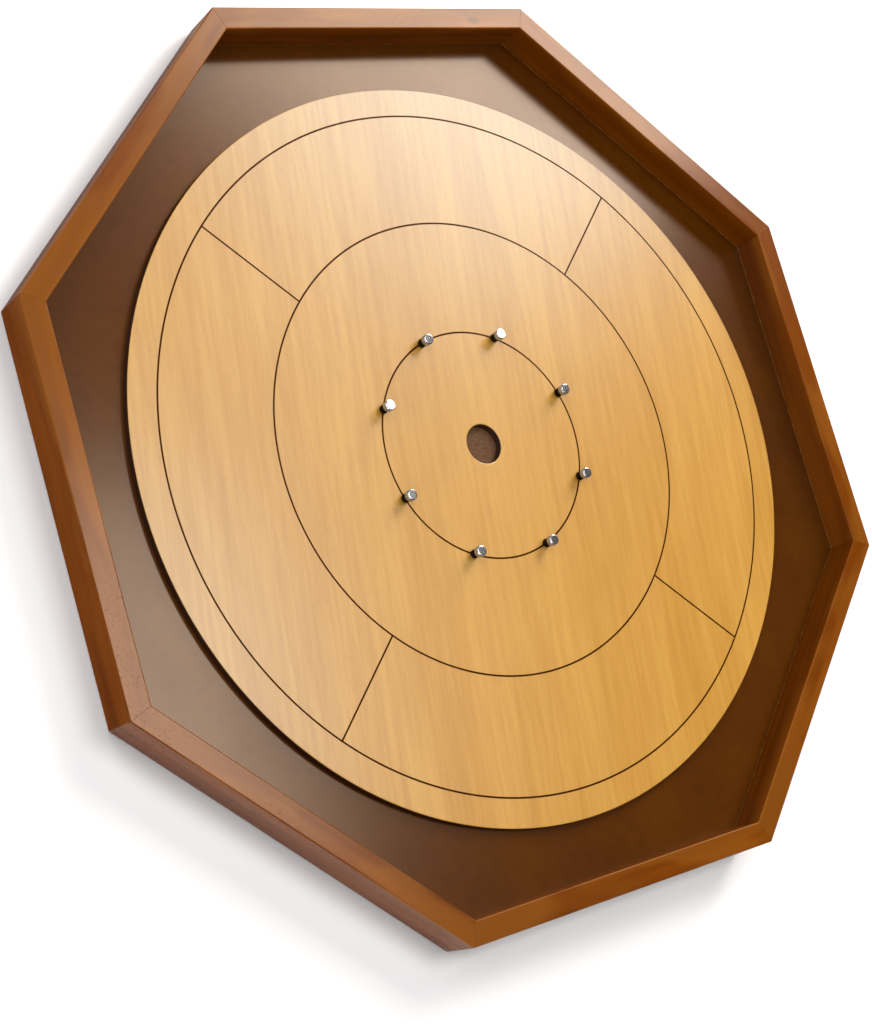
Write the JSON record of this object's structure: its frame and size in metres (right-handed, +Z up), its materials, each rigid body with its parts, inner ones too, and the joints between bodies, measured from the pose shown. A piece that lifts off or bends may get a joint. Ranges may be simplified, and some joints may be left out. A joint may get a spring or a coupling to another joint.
{
  "type": "crokinole board",
  "caption": "Octagonal wooden crokinole board: round scored playing surface with metal posts and a centre hole, raised in a sunken ditch inside a mitred rail frame.",
  "frame": {"origin": "on the table surface, under the centre of the board", "axes": "+Z up out of the playing surface; the frame's flats face 0, 45, 90 ... degrees from +X, so two opposite rails face +X and -X and two face +Y and -Y"},
  "size_m": [0.793, 0.793, 0.044],
  "materials": {
    "base_panel": "dark brown stained plywood under satin lacquer",
    "playing_surface": "pale beech veneer, polished lacquer, dark stained edge",
    "rail": "solid wood, warm brown stain, satin lacquer",
    "post": "polished nickel plate",
    "post_sleeve": "smooth black rubber tube",
    "screw": "zinc plated steel",
    "foot": "matt black rubber"
  },
  "bodies": {
    "root": {"base_panel": "base_panel", "playing_surface": "playing_surface", "rail_1": "rail", "rail_2": "rail", "rail_3": "rail", "rail_4": "rail", "rail_5": "rail", "rail_6": "rail", "rail_7": "rail", "rail_8": "rail", "post_1": "post", "post_2": "post", "post_3": "post", "post_4": "post", "post_5": "post", "post_6": "post", "post_7": "post", "post_8": "post", "post_sleeve_1": "post_sleeve", "post_sleeve_2": "post_sleeve", "post_sleeve_3": "post_sleeve", "post_sleeve_4": "post_sleeve", "post_sleeve_5": "post_sleeve", "post_sleeve_6": "post_sleeve", "post_sleeve_7": "post_sleeve", "post_sleeve_8": "post_sleeve", "surface_screw_1": "screw", "surface_screw_2": "screw", "surface_screw_3": "screw", "surface_screw_4": "screw", "surface_screw_5": "screw", "surface_screw_6": "screw", "surface_screw_7": "screw", "surface_screw_8": "screw", "rail_screw_1": "screw", "rail_screw_2": "screw", "rail_screw_3": "screw", "rail_screw_4": "screw", "rail_screw_5": "screw", "rail_screw_6": "screw", "rail_screw_7": "screw", "rail_screw_8": "screw", "rail_screw_9": "screw", "rail_screw_10": "screw", "rail_screw_11": "screw", "rail_screw_12": "screw", "rail_screw_13": "screw", "rail_screw_14": "screw", "rail_screw_15": "screw", "rail_screw_16": "screw", "foot_1": "foot", "foot_2": "foot", "foot_3": "foot", "foot_4": "foot", "foot_5": "foot", "foot_6": "foot", "foot_7": "foot", "foot_8": "foot"}
  },
  "joints": []
}
